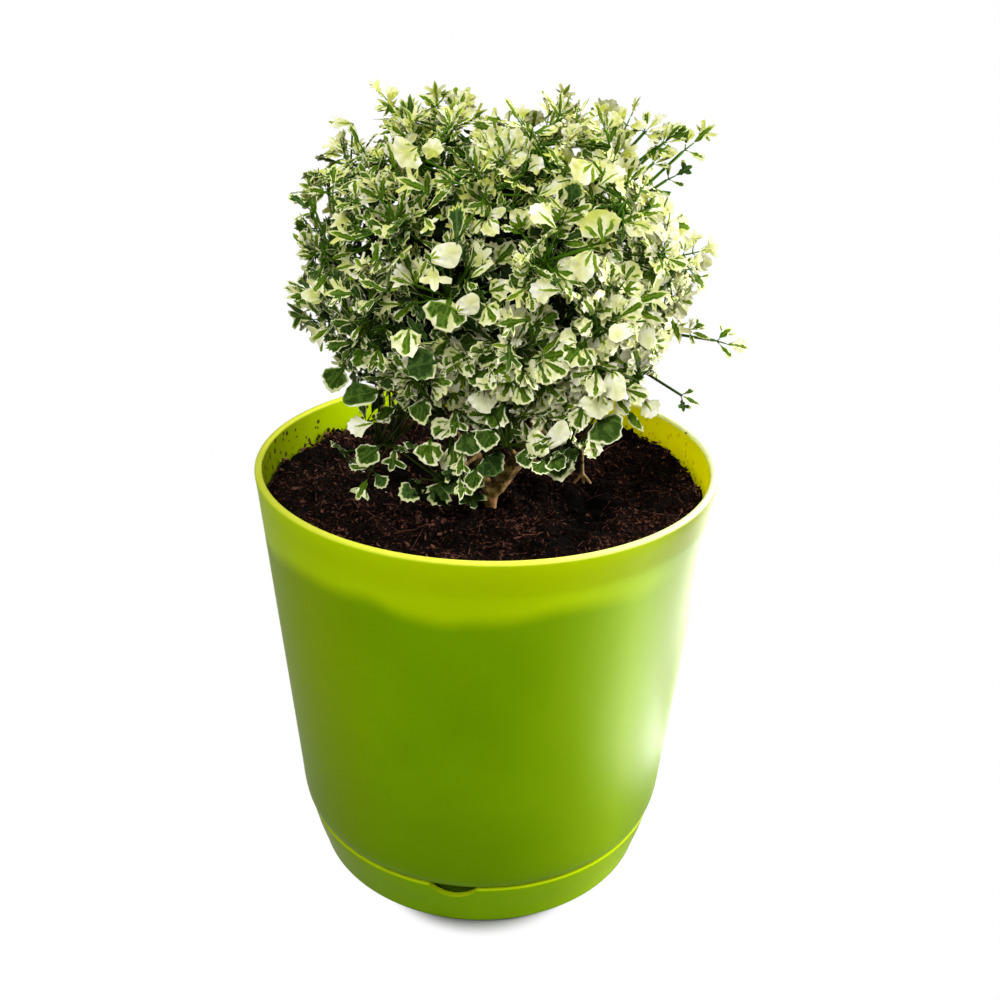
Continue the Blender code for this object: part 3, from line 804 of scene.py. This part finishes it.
# Leaflets that stand out at the front: place, heading in degrees clockwise from straight up,
# length, shape, kind.
standOuts = [
    ((-9, -60, 251), 0, 13, "wedge", 0), ((-11, -63, 242), 70, 11, "oval", 6),
    ((-15, -64, 235), 180, 10, "threeLobed", 5), ((-23, -52, 259), 285, 12, "fingered", 3),
    ((-43, -47, 243), 290, 11, "fingered", 3), ((-33, -59, 232), 300, 10, "wedge", 2),
    ((-44, -51, 227), 270, 11, "fingered", 2), ((-24, -45, 265), 250, 9.5, "kidney", 5),
    ((-16, -45, 267), 40, 8, "round", 6), ((-3, -37, 272), 290, 9, "wedge", 2),
    ((25, -49, 262), 235, 10, "round", 5), ((34, -46, 261), 60, 10, "fan", 5),
    ((30, -56, 250), 0, 12, "kidney", 4), ((14, -58, 252), 300, 11, "fan", 5),
    ((26, -62, 239), 200, 11.5, "round", 5), ((15, -65, 233), 250, 11, "fan", 5),
    ((48, -53, 229), 60, 12.5, "fingered", 3), ((-12, -65, 225), 205, 12.5, "kidney", 2),
    ((-5, -66, 229), 60, 9, "oval", 6), ((-23, -62, 216), 200, 11, "round", 3),
    ((-19, -62, 210), 250, 12, "round", 0), ((-34, -59, 226), 240, 11, "threeLobed", 2),
    ((-54, -32, 221), 290, 9, "oval", 5), ((-40, -40, 192), 255, 14, "oval", 1),
    ((-48, -32, 194), 215, 11, "round", 1), ((-40, -38, 181), 250, 10, "fan", 5),
    ((-38, -38, 171), 240, 11, "round", 1), ((-29, -45, 172), 190, 9.5, "threeLobed", 1),
    ((-20, -46, 189), 200, 10, "round", 1), ((-17, -50, 177), 180, 11, "kidney", 2),
    ((0, -52, 183), 200, 9.5, "round", 1), ((-8, -50, 173), 190, 9, "threeLobed", 2),
    ((-4, -49, 168), 200, 8.5, "round", 1), ((-1, -52, 195), 190, 10, "kidney", 5),
    ((5, -66, 224), 250, 12, "fingered", 2), ((6, -63, 212), 180, 13, "fingered", 1),
    ((37, -59, 220), 250, 10.5, "oval", 6), ((46, -52, 216), 180, 10, "oval", 6),
    ((32, -51, 201), 190, 10.5, "fan", 4), ((38, -48, 199), 170, 12, "oval", 6),
    ((22, -50, 185), 40, 12, "oval", 6), ((15, -52, 182), 240, 10, "kidney", 4),
    ((22, -50, 174), 200, 13, "round", 1), ((12, -52, 177), 200, 8, "round", 1),
    ((33, -44, 178), 160, 9.5, "fan", 3), ((37, -45, 184), 150, 13, "kidney", 1),
    ((46, -40, 185), 135, 11, "lance", 3), ((50, -40, 190), 150, 9, "fan", 5),
    ((-10, -46, 173), 165, 12, "round", 2), ((-3, -43, 166), 150, 11, "threeLobed", 1),
    ((-4, -38, 157), 160, 11, "threeLobed", 0), ((-15, -37, 158), 200, 12, "fan", 0),
    ((-10, -42, 164), 190, 12, "kidney", 0), ((2, -44, 171), 150, 10, "kidney", 0),
    ((-24, -40, 160), 210, 11, "fan", 0), ((-10, -46, 185), 190, 11, "threeLobed", 2),
    ((-5, -46, 179), 160, 11, "kidney", 1), ((3, -50, 190), 200, 11, "fan", 2),
    ((-14, -46, 184), 230, 10, "round", 2), ((-3, -48, 194), 180, 11, "fingered", 1),
    ((7, -48, 184), 170, 10, "threeLobed", 1), ((-31, -42, 187), 230, 11, "fan", 2),
    ((-47, -8, 268), 262, 9.5, "wedge", 5), ((33, -46, 192), 185, 10.5, "kidney", 5),
    ((41, -44, 192), 150, 9, "fan", 3), ((46, -42, 195), 120, 9, "round", 3),
    ((28, -46, 188), 200, 9, "round", 2),
]
# Leaves held out of the crown on long stalks: where the stalk starts and ends, leaf size, cream.
longStalks = [
    ((50, -14, 207), (72, -18, 205), 0.7, 0.55), ((30, -8, 248), (46, -8, 267), 0.7, 0.9),
    ((40, -10, 244), (58, -10, 262), 0.8, 0.6), ((38, -8, 250), (52, -8, 264), 0.7, 0.8),
    ((-16, -8, 258), (-30, -8, 273), 0.7, 0.8), ((50, -14, 206), (64, -15, 207), 0.6, 0.6),
    ((34, -8, 252), (39, -10, 266), 0.7, 0.8), ((34, -8, 249), (49, -8, 262), 0.8, 0.7),
    ((38, -10, 248), (49, -10, 258), 0.6, 0.6), ((44, -8, 246), (54, -8, 253), 0.6, 0.2),
    ((50, -10, 192), (64, -12, 184), 0.6, 0.15), ((-32, -8, 254), (-40, -8, 258), 0.7, 0.8),
    ((-48, -12, 214), (-56, -14, 216), 0.8, 0.2), ((48, -16, 226), (60, -16, 227), 0.7, 0.5),
]
leafBlanks = {}


# A stalk's number of sides, and its radius at the foot and at the tip, one unit long.
stalkShapes = {"petiole": (4, 0.5, 0.5), "stalk": (3, 0.5, 0.36), "shoot": (6, 1.0, 0.6)}


def buildBlanks():
    for name in shapeNames:
        leafBlanks[name] = leafletBlank(name)
    for name, (sides, foot, tip) in stalkShapes.items():
        leafBlanks[name] = stalkBlank(sides, foot, tip, name == "petiole")
    deselect()
    print("leaf blanks", len(leafBlanks))


def stalkBlank(sides, foot, tip, jointed):
    deselect()
    bpy.ops.mesh.primitive_cone_add(
        vertices=sides, radius1=foot, radius2=tip, depth=1.0, location=(0, 0, 0.5))
    bpy.ops.object.transform_apply(location=True, rotation=True, scale=True)
    if jointed:
        bpy.ops.object.mode_set(mode="EDIT")
        for height in (0.3, 0.7):
            bpy.ops.mesh.select_all(action="SELECT")
            bpy.ops.mesh.bisect(plane_co=(0, 0, height), plane_no=(0, 0, 1))
        bpy.ops.object.mode_set(mode="OBJECT")
    thing = bpy.context.object
    mesh = thing.data.copy()
    bpy.data.objects.remove(thing, do_unlink=True)
    mesh.shade_smooth()
    dressBlank(mesh, 7, 7, lambda vertex: (1.0, Vector((0, 0, 0)), 0.0), 1.0)
    return mesh


# What the leaf material reads: depth from the rim, place on the leaflet, and kind. The UV map gives
# every shape and kind its own cell of 8 by 8.
def dressBlank(mesh, column, row, look, kind):
    while mesh.uv_layers:
        mesh.uv_layers.remove(mesh.uv_layers[0])
    for name, form in (("margin", "FLOAT"), ("leafKind", "FLOAT"), ("leafPlace", "FLOAT_VECTOR")):
        mesh.attributes.new(name, form, "POINT")
    looks = [look(vertex) for vertex in mesh.vertices]
    for i, (margin, place, across) in enumerate(looks):
        mesh.attributes["margin"].data[i].value = margin
        mesh.attributes["leafKind"].data[i].value = kind
        mesh.attributes["leafPlace"].data[i].vector = place
    cells = mesh.uv_layers.new(name="OFBake")
    for loop in mesh.loops:
        place, across = looks[loop.vertex_index][1:]
        along = 0.08 + 0.84 * max(0, min(1, place.x))
        cells.data[loop.index].uv = ((column + along) / 8, (row + 0.5 + 0.42 * across) / 8)


# One leaflet in each kind: a thin closed blade along +X, its face up.
def leafletBlank(name):
    shape, number = leafletShapes[name], shapeNames.index(name)
    points, length, middle = leaflet["rimPoints"], shape["length"], shape["middle"]
    step = math.tau / points
    deselect()
    bpy.ops.mesh.primitive_circle_add(vertices=points, radius=1.0, fill_type="NGON")
    thing = bpy.context.object
    mesh = thing.data
    for vertex in mesh.vertices:
        place = round(math.atan2(vertex.co.y, vertex.co.x) / step)
        reach = shape["rim"][abs(place)] * (1 + leaflet["uneven"] * math.sin(0.9 * place + number))
        vertex.co.x = (middle + reach * math.cos(place * step)) * length * mm
        vertex.co.y = reach * math.sin(place * step) * length * shape["width"] * mm
    bpy.ops.object.mode_set(mode="EDIT")
    bpy.ops.mesh.select_all(action="SELECT")
    bpy.ops.mesh.poke()
    bpy.ops.mesh.normals_make_consistent(inside=False)
    bpy.ops.mesh.duplicate()
    bpy.ops.mesh.flip_normals()
    bpy.ops.object.mode_set(mode="OBJECT")
    work = bmesh.new()
    work.from_mesh(mesh)
    work.normal_update()
    for vertex in work.verts:
        if len(vertex.link_faces) == points:  # a middle, of the face or of the back
            side = 1 if vertex.link_faces[0].normal.z > 0 else -1
            vertex.co = (middle * length * mm, 0, side * leaflet["thickness"] / 2 * mm)
    bmesh.ops.remove_doubles(work, verts=work.verts, dist=0.001 * mm)
    for vertex in work.verts:
        x, y = vertex.co.x / (length * mm), vertex.co.y / (length * mm)
        lift = shape["cup"] * (1.9 * abs(y)) ** 1.5 - leaflet["droop"] * max(0.0, x - 0.35) ** 2
        if len(vertex.link_faces) < points:
            lift += shape["ruffle"] * math.sin(7 * math.atan2(y, x - middle) + number)
        vertex.co.z += lift * mm
    for edge in work.edges:
        edge.smooth = not all(len(vertex.link_faces) < points for vertex in edge.verts)
    for face in work.faces:
        face.smooth = True
    work.to_mesh(mesh)
    work.free()
    widest = max(abs(vertex.co.y) for vertex in mesh.vertices)

    def look(vertex):
        inner = abs(vertex.co.y) < 0.05 * widest and vertex.co.x < (middle + 0.02) * length * mm
        place = Vector((vertex.co.x / (length * mm), vertex.co.y / (length * mm), number * 0.37))
        return (1.0 if inner else 0.0), place, vertex.co.y / widest

    blades = []
    for kind in range(len(leafKinds)):
        blade = mesh.copy()
        dressBlank(blade, number, kind, look, kind / 8)
        blades.append(blade)
    bpy.data.objects.remove(thing, do_unlink=True)
    return blades


def crownReach(direction):
    lean = math.radians(crown["lean"])
    toFront = -direction.y * math.cos(lean) + direction.z * math.sin(lean)
    upright = direction.y * math.sin(lean) + direction.z * math.cos(lean)
    angle = math.degrees(math.atan2(direction.x, upright))
    for (fromAngle, fromReach), (toAngle, toReach) in zip(crown["outline"], crown["outline"][1:]):
        if angle <= toAngle:
            break
    outline = fromReach + (toReach - fromReach) * (angle - fromAngle) / (toAngle - fromAngle)
    power = crown["squareness"]
    shares = (math.hypot(direction.x, upright) / outline, abs(toFront) / crown["depth"])
    bump, closeness = crown["bumps"]
    return sum(share ** power for share in shares) ** (-1 / power) + bump * noise.noise(direction * closeness)


shoot = {
    "radius": 0.6,  # mm
    "shortest": 2.0,  # mm, of the edges along a node's shoot
}


# Each spray's root and tip in mm, read from its node: the root is its end by the wood.
def sprayLines():
    wood = frame["nodes"]["woody_stems"].data.vertices
    tree = KDTree(len(wood))
    for i, vertex in enumerate(wood):
        tree.insert(vertex.co, i)
    tree.balance()
    lines = {}
    for name in sorted(frame["nodes"]):
        if not name.startswith("leaf_spray"):
            continue
        copy = copyOfNode("reading", name)
        mesh = copy.data
        ranked = sorted(range(len(mesh.vertices)), key=lambda i: tree.find(mesh.vertices[i].co)[2])[:4]
        root = sum((mesh.vertices[i].co for i in ranked), Vector()) / 4
        along = Vector()
        for edge in mesh.edges:
            a, b = edge.vertices
            if (a in ranked) != (b in ranked):
                run = mesh.vertices[b].co - mesh.vertices[a].co
                if b in ranked:
                    run = -run
                if run.length > shoot["shortest"] * mm:
                    along += run.normalized()
        along.normalize()
        reach = 0.0
        for vertex in mesh.vertices:
            far = (vertex.co - root).dot(along)
            if ((vertex.co - root) - along * far).length < 2 * shoot["radius"] * mm:
                reach = max(reach, far)
        lines[name] = (root / mm, (root + along * reach) / mm)
        bpy.data.objects.remove(copy, do_unlink=True)
        bpy.data.meshes.remove(mesh)
    return lines


# A matrix whose X is heading and whose Z is as near facing as it can be, at a place in mm.
def frameOf(heading, facing, place):
    across = facing.cross(heading).normalized()
    matrix = Matrix((heading, across, heading.cross(across).normalized())).transposed().to_4x4()
    matrix.translation = place * mm
    return matrix


def scatter(chance, amount):
    return Vector([chance.gauss(0, amount) for axis in range(3)])


def addStalk(work, start, end, kind, radius):
    run = end - start
    if run.length < 0.3:
        return
    matrix = run.to_track_quat("Z", "Y").to_matrix().to_4x4()
    matrix.translation = start * mm
    size = Matrix.Diagonal((radius * mm, radius * mm, run.length * mm, 1))
    addCopy(work, leafBlanks[kind], matrix @ size)


def addLeaflet(work, place, heading, facing, size, shape, kind, chance):
    facing = (facing + scatter(chance, 0.22)).normalized()
    sizes = Matrix.Diagonal((size, size * chance.uniform(0.85, 1.12), size * chance.uniform(0.5, 1.6), 1))
    addCopy(work, leafBlanks[shape][kind], frameOf(heading, facing, place) @ sizes)


def chooseLeaflet(cream, narrow, chance):
    if cream < -0.12:
        return chance.choice(("round", "kidney", "fan", "wedge")), paintedShadeKind
    kind = max(0, min(6, round(cream * 5.6 + chance.gauss(0, 1.15))))
    slim = narrow + chance.gauss(0, 0.2)
    if kind == 6 and slim < 0.8:
        shape = chance.choice(("oval", "oval", "round"))
    elif slim < 0.32:
        shape = chance.choice(("round", "kidney", "round", "fan", "threeLobed"))
    elif slim < 0.62:
        shape = chance.choice(("fan", "wedge", "threeLobed", "fingered", "round"))
    else:
        shape = chance.choice(("wedge", "lance", "fingered", "threeLobed", "wedge"))
    return shape, kind


# A compound leaf on its petiole: leaflets spread like fingers, or in pairs along a rachis.
def addLeaf(work, foot, base, heading, facing, size, cream, narrow, chance, thickness=0.5):
    addStalk(work, foot, base, "petiole", thickness + 0.2 * size)
    side = facing.cross(heading).normalized()
    places = []
    if chance.random() < 0.6:
        count = chance.choice((3, 3, 4, 5))
        spread = math.radians(chance.uniform(100, 160))
        for i in range(count):
            turn = spread * (i / (count - 1) - 0.5) + chance.uniform(-0.14, 0.14)
            out = heading * math.cos(turn) + side * math.sin(turn)
            seat = base + out * size * chance.uniform(0.8, 2.0)
            addStalk(work, base, seat, "stalk", 0.55)
            places.append((seat, out, 1.05 - 0.2 * abs(turn)))
    else:
        pairs = chance.choice((1, 1, 2))
        end = base + heading * size * (2.0 + 3.6 * pairs) - up * 0.5
        addStalk(work, base, end, "stalk", 0.6)
        places.append((end, heading, 1.0))
        for pair in range(pairs):
            joint = base.lerp(end, (pair + 0.2) / pairs)
            for hand in (-1, 1):
                turn = hand * math.radians(chance.uniform(45, 70))
                out = heading * math.cos(turn) + side * math.sin(turn)
                seat = joint + out * size * chance.uniform(1.0, 2.6)
                addStalk(work, joint, seat, "stalk", 0.5)
                places.append((seat, out, chance.uniform(0.75, 0.95)))
    for place, out, share in places:
        shape, kind = chooseLeaflet(cream, narrow, chance)
        addLeaflet(work, place, out, facing, size * share, shape, kind, chance)


# Where each leaf sits: its place, its direction from the crown's centre, and how much greener it is, which is
# painted shade.
def crownLeaves(lines):
    chance = random.Random(crown["seed"])
    centre = Vector(crown["centre"])
    tips = [(tip - centre).normalized() for root, tip in lines.values()]
    height, half = crown["tuft"]
    clear = [Vector(place) for place, *rest in standOuts]
    leaves = []
    for depth, count, paintedDepthShade in crown["layers"]:
        for i in range(count):
            z = 1 - (1 - crown["lowest"]) * (i + 0.5) / count
            turn = goldenAngle * i + depth
            ring = math.sqrt(1 - z * z)
            even = Vector((ring * math.cos(turn), ring * math.sin(turn), z))
            direction = (even + scatter(chance, 0.05)).normalized()
            apart = min(direction.angle(tip) for tip in tips) * crown["radius"]
            tuft = height * (1 - min(1.7, (apart / half) ** 2))
            place = centre + direction * (crownReach(direction) + tuft - depth + chance.uniform(-2.5, 2.5))
            crowded = any((place - spot).length < crown["clearing"] for spot in clear)
            if place.z >= crown["lowestLeaf"] and not (crowded and depth < crown["outerDepth"]):
                leaves.append((place, direction, paintedDepthShade))
    return leaves


# A petiole's foot, brought nearer where it would be longer than petioles grow.
def petioleFoot(foot, seat):
    away = foot - seat
    longest = crown["longestPetiole"]
    return seat + away.normalized() * longest if away.length > longest else foot


def growLeaf(work, root, tip, place, direction, paintedDepthShade, chance):
    low, high = crown["heights"]
    height = (place.z - low) / (high - low)
    foot = root.lerp(tip, chance.uniform(0.55, 1.0))
    away = place - foot
    foot = petioleFoot(foot, place)
    facing = direction * (0.85 - 0.3 * height) + up * (0.3 + 0.1 * height) + Vector((0, -0.28, 0))
    facing = (facing + scatter(chance, 0.36)).normalized()
    heading = away.normalized() * 0.8 + direction * 0.3 + up * (0.8 * height - 0.55) + scatter(chance, 0.28)
    heading = (heading - facing * heading.dot(facing) * (0.9 - 0.75 * height)).normalized()
    cream = 0.36 + 0.32 * height + 0.22 * noise.noise(place / 14.0) - paintedDepthShade + chance.gauss(0, 0.10)
    cream += 0.0045 * place.x + 0.04  # painted light: leaves on the right are creamier, so the right side is paler
    narrow = 0.12 + 0.62 * height + 0.005 * max(0.0, -place.x) + chance.gauss(0, 0.12)
    size = chance.uniform(0.70, 1.02) * (1.04 - 0.24 * height)
    addLeaf(work, foot, place - heading * size * 5.0, heading, facing, size, cream, narrow, chance)


# The sprays by the stem's foot end below the crown's leaves, so they have a few of their own.
def growLowLeaves(work, root, tip, chance):
    least, rightLeast = crown["lowLimits"]
    along = (tip - root).normalized()
    for i in range(crown["lowLeaves"]):
        out = Matrix.Rotation(goldenAngle * i, 3, along) @ along.orthogonal().normalized()
        out = (out + along * chance.uniform(-0.2, 1.0)).normalized()
        place = tip + out * chance.uniform(*crown["lowReaches"])
        if place.x > crown["stemSide"]:
            place.z = max(place.z, rightLeast)
        if place.z > least:
            growLeaf(work, root, tip, place, out, 0.3, chance)


def buildSprays():
    lines = sprayLines()
    chance = random.Random(crown["seed"] + 1)

    def nearest(place):
        return min(lines, key=lambda name: (lines[name][1] - place).length)

    works = {name: bmesh.new() for name in lines}
    lowRoot, lowTip = crown["lowSprays"]
    for name, (root, tip) in lines.items():
        addStalk(works[name], root, tip, "shoot", shoot["radius"])
        if root.z < lowRoot and tip.z < lowTip:
            growLowLeaves(works[name], root, tip, chance)
    leaves = crownLeaves(lines)
    for place, direction, paintedDepthShade in leaves:
        name = nearest(place)
        growLeaf(works[name], *lines[name], place, direction, paintedDepthShade, chance)
    lean = math.radians(crown["lean"])
    front = Vector((0, -math.cos(lean), math.sin(lean)))
    rise = Vector((0, math.sin(lean), math.cos(lean)))
    right = Vector((1, 0, 0))
    for place, degrees, length, shape, kind in standOuts:
        place = Vector(place)
        name = nearest(place)
        turn = math.radians(degrees)
        heading = rise * math.cos(turn) + right * math.sin(turn) + front * 0.2 + scatter(chance, 0.15)
        heading.normalize()
        size = 0.84 * length / leafletShapes[shape]["length"]
        seat = place - heading * length / 2
        root, tip = lines[name]
        addStalk(works[name], petioleFoot(root.lerp(tip, 0.9), seat), seat, "petiole", 0.65)
        addLeaflet(works[name], seat, heading, front + scatter(chance, 0.2), size, shape, kind, chance)
    facing = (front + up).normalized()
    for start, end, size, cream in longStalks:
        start, end = Vector(start), Vector(end)
        heading = (end - start).normalized()
        addLeaf(works[nearest(start)], start, end, heading, facing, size, cream, 0.7, chance, 0.8)
    faces = 0
    old, young = crown["youngHeights"]
    for name, work in works.items():
        mesh = bpy.data.meshes.new("aralia_" + name)
        work.to_mesh(mesh)
        work.free()
        setValue(mesh, "leafShade", 0.95 + 0.1 * chance.random())
        setValue(mesh, "leafYouth", max(0.0, min(1.0, (lines[name][1].z - old) / (young - old))))
        spray = bpy.data.objects.new("aralia_" + name, mesh)
        bpy.context.scene.collection.objects.link(spray)
        finishPiece(spray, leafLook, "leaf", name)
        faces += sum(len(polygon.vertices) - 2 for polygon in mesh.polygons)
    print("leaf sprays", len(lines), "with", len(leaves), "leaves,", faces, "triangles")


def leafMaterial():
    # A variegated aralia leaf: a thin waxy blade, cream, with green that runs out from its foot in
    # fingers along the veins, paler at its edge; young leaves are yellower.
    material, add = newMaterial("variegated waxy aralia leaf")
    numbers = ("leafKind", "margin", "leafShade", "leafYouth")
    kind, margin, shade, youth = (add("Attribute " + name).outputs["Fac"] for name in numbers)
    place = add("Attribute leafPlace").outputs["Vector"]
    seed = add("CombineXYZ", {"Z": kind})
    seed = add("VectorMath MULTIPLY_ADD", (seed, (0, 0, 11.0), place))
    splash = add("TexNoise", {"Vector": seed, "Scale": 5.0, "Detail": 3.0, "Roughness": 0.6})
    halves = add("TexNoise", {"Vector": seed, "Scale": 1.6, "Detail": 1.0})
    x, y = add("SeparateXYZ", (place,)).outputs[:2]
    # Veins fan out from the leaflet's foot, 36 degrees apart.
    angle = add("Math ARCTAN2", (y, x))
    wander = add("Math MULTIPLY_ADD", (splash, 3.6, -1.8))
    veins = add("Math COSINE", (add("Math MULTIPLY_ADD", (angle, 10.0, wander)),))
    fromFoot = add("VectorMath LENGTH", (add("CombineXYZ", (x, y)),)).outputs["Value"]
    # The three numbers of a kind, as the channels of a ramp.
    stops = [(i / 8, (reach / 1.5, depth, edge)) for i, (reach, depth, edge) in enumerate(leafKinds)]
    reach, depth, edge = add("SeparateColor", (add("ValToRGB", (kind,), stops),)).outputs
    reach = add("Math MULTIPLY", (reach, 1.5))
    uneven = add("Math MULTIPLY_ADD", (halves, 1.3, -0.65))
    reach = add("Math ADD", (reach, uneven))
    fingers = add("Math MULTIPLY_ADD", (veins, depth, reach))
    past = add("Math SUBTRACT", (fingers, fromFoot))
    ragged = add("Math MULTIPLY_ADD", (uneven, 0.8, margin))
    past = add("Math MINIMUM", (past, add("Math SUBTRACT", (ragged, edge))))
    green = add("MapRange SMOOTHSTEP", (past, -0.02, 0.02))
    deep = add("MapRange SMOOTHSTEP", (past, 0.03, 0.15))
    # The last stop of each green is the painted shade kind, dark green deep in the crown.
    fresh = add("ValToRGB", (kind,), [
        (0.0, "#263c14"), (0.12, "#2c4510"), (0.3, "#36520a"), (0.5, "#426006"), (0.78, "#5c8008"),
        (0.84, "#0f1a05")])
    paleGreen = add("ValToRGB", (kind,), [
        (0.0, "#5a7838"), (0.4, "#7c9628"), (0.78, "#9cac2c"), (0.84, "#162408")])
    veined = add("MapRange", (veins, 0.8, 1.0, 0.0, 0.42))
    # A third, greyer green lies in soft patches.
    patch = add("MapRange SMOOTHSTEP", (splash, 0.48, 0.66, 0.0, 0.45))
    veined = add("Math MAXIMUM", (veined, patch))
    blade = add("MixRGB", (veined, fresh, paleGreen))
    blade = add("MixRGB", (deep, paleGreen, blade))
    cream = add("ValToRGB", (halves,), [
        (0.34, "#cfd09e"), (0.46, "#e3e3bf"), (0.6, "#efeed8"), (0.72, "#f6f4ea")])
    young = add("ValToRGB", (halves,), [
        (0.34, "#acb24a"), (0.46, "#c4c588"), (0.6, "#d2d2b4"), (0.72, "#dcdbce")])
    cream = add("MixRGB", (youth, cream, young))
    cream = add("MixRGB", (add("Math MULTIPLY", (veined, 0.5)), cream, "#adba54"))
    colour = add("MixRGB", (green, cream, blade))
    stalk = add("Math GREATER_THAN", (kind, 0.95))
    colour = add("MixRGB", (stalk, colour, add("MixRGB", (youth, "#243208", "#3f650c"))))
    colour = add("MixRGB MULTIPLY", (1.0, colour, shade))
    bump = add("Bump", {"Height": veins, "Strength": 0.4, "Distance": 0.2 * mm})
    shader = add("BsdfPrincipled", {
        "Base Color": colour, "Normal": bump, "Roughness": 0.5, "Specular IOR Level": 0.03})
    add("OutputMaterial", (shader,))
    return material


# Everything together.
addCamera()
addLights()
addFloor()
scene = bpy.context.scene
scene.view_settings.view_transform = "Standard"
buildPot()
buildTray()
buildSoil()
buildWood("aralia_woody_stems", "woody_stems", bark["voxel"], bark["knobs"],
          barkMaterial("young aralia bark", "#2b2114", "#66502e", "#a98c58"), "bark")
buildWood("dry_stalk", "dry_twig", bark["twigVoxel"], bark["twigKnobs"],
          barkMaterial("dry stalk", "#4a3826", "#8f7a55", "#c4b48c"), "dry_wood")
leafLook = leafMaterial()
buildBlanks()
buildSprays()
deselect()
